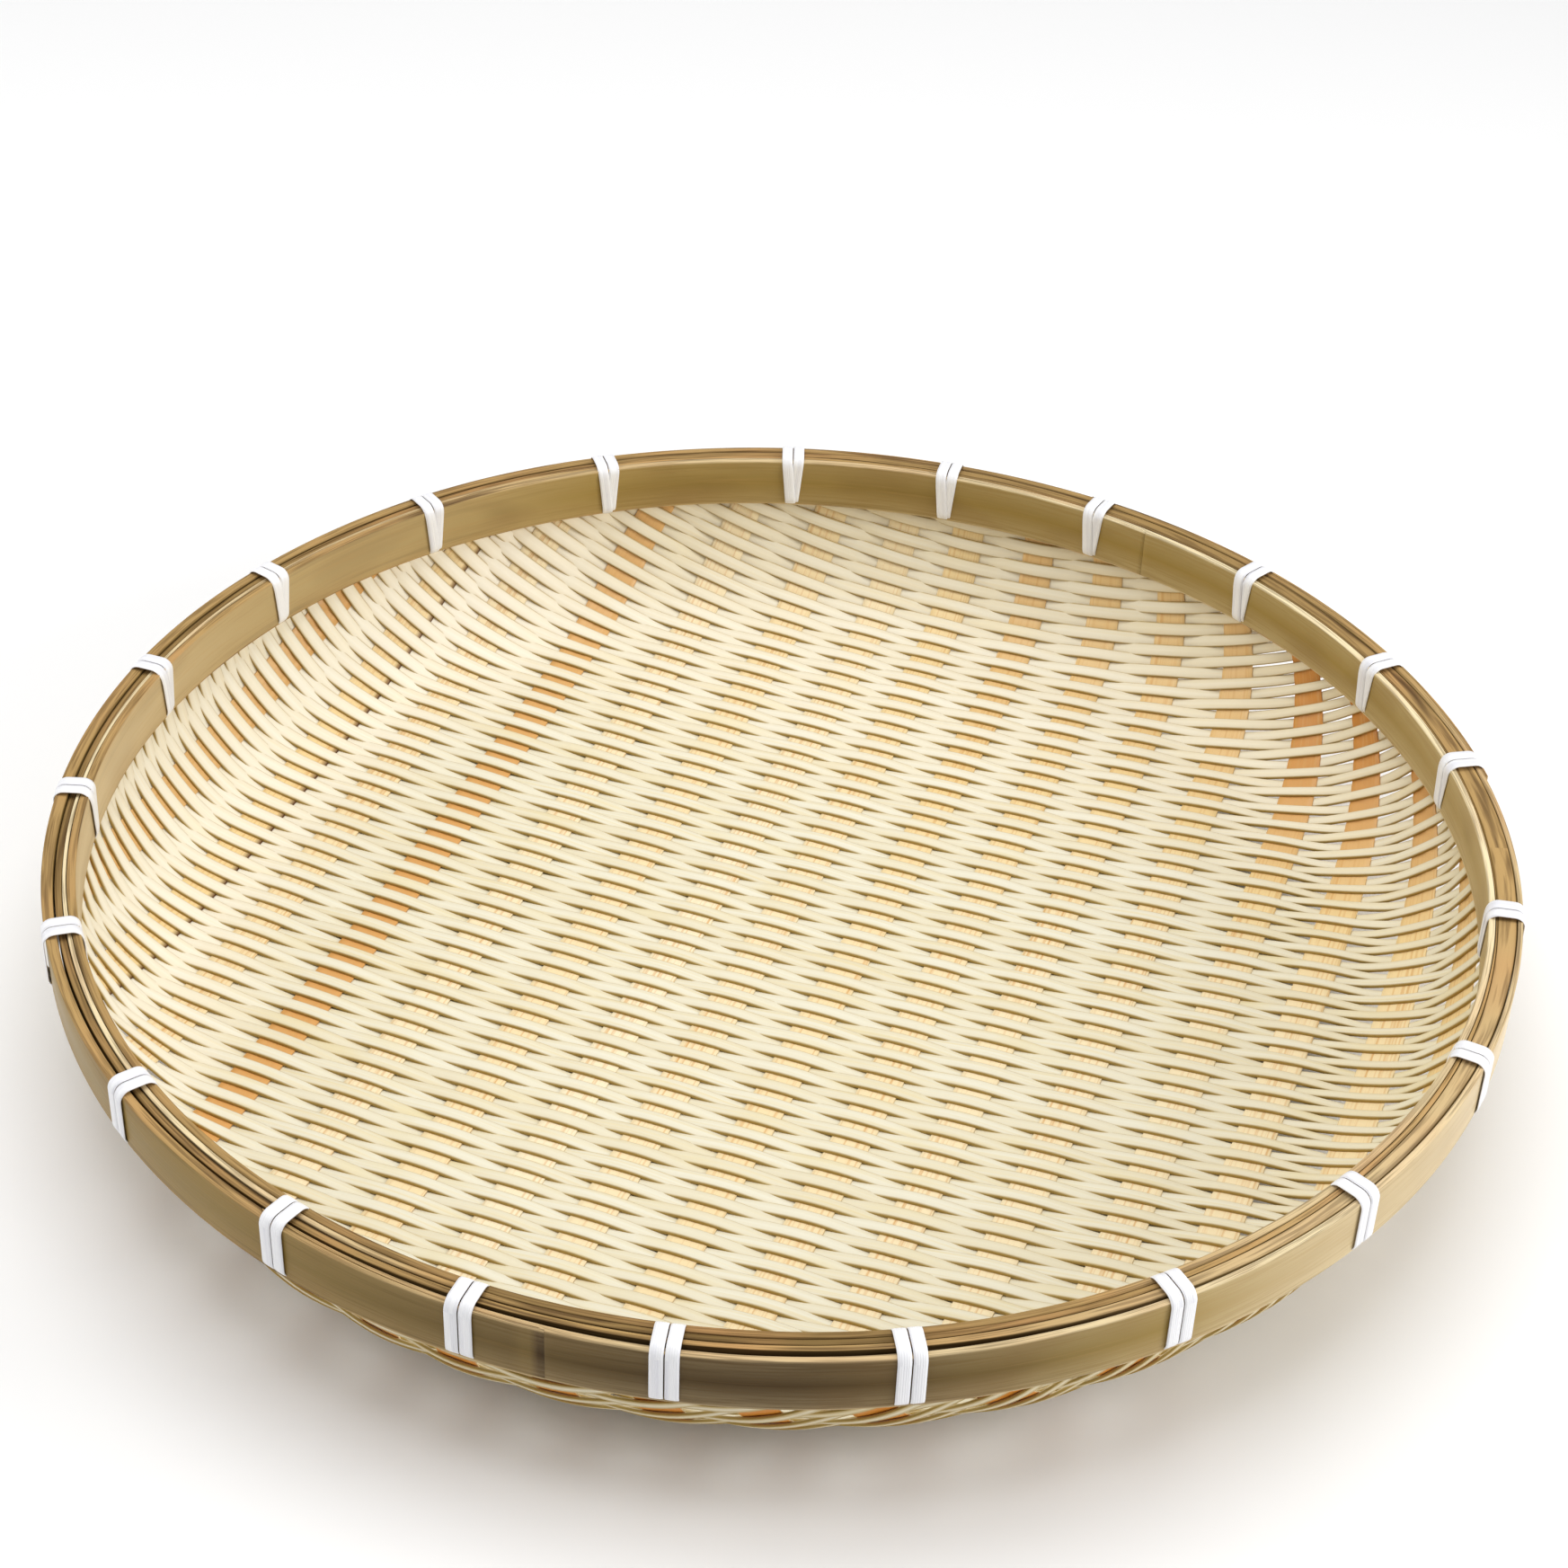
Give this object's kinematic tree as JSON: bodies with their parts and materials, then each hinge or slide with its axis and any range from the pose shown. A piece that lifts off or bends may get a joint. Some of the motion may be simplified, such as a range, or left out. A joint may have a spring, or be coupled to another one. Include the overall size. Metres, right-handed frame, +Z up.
{
  "type": "bamboo tray",
  "caption": "Round shallow woven bamboo tray: a plain-woven splint mat clamped between two bent hoops and tied with flat white straps.",
  "frame": {"origin": "centre of the tray's round outline, on the surface that it rests on", "axes": "+Z up out of the open dish, +X and +Y level, with -Y towards the picture's viewer"},
  "size_m": [0.481, 0.481, 0.0692],
  "materials": {
    "hoop": "smooth bamboo skin with a faint lengthwise grain",
    "weft": "pale split bamboo, satin",
    "warp": "tan split bamboo, satin",
    "strap": "white flat strap, slightly glossy"
  },
  "bodies": {
    "root": {"outer_hoop": "hoop", "inner_hoop": "hoop", "wefts_on_outer_splint": "weft", "wefts_on_inner_splint": "weft", "warp_01": "warp", "warp_02": "warp", "warp_03": "warp", "warp_04": "warp", "warp_05": "warp", "warp_06": "warp", "warp_07": "warp", "warp_08": "warp", "warp_09": "warp", "warp_10": "warp", "warp_11": "warp", "warp_12": "warp", "warp_13": "warp", "warp_14": "warp", "warp_15": "warp", "warp_16": "warp", "lashing_01": "strap", "lashing_02": "strap", "lashing_03": "strap", "lashing_04": "strap", "lashing_05": "strap", "lashing_06": "strap", "lashing_07": "strap", "lashing_08": "strap", "lashing_09": "strap", "lashing_10": "strap", "lashing_11": "strap", "lashing_12": "strap", "lashing_13": "strap", "lashing_14": "strap", "lashing_15": "strap", "lashing_16": "strap", "lashing_17": "strap", "lashing_18": "strap", "lashing_19": "strap", "lashing_20": "strap", "lashing_21": "strap"}
  },
  "joints": []
}
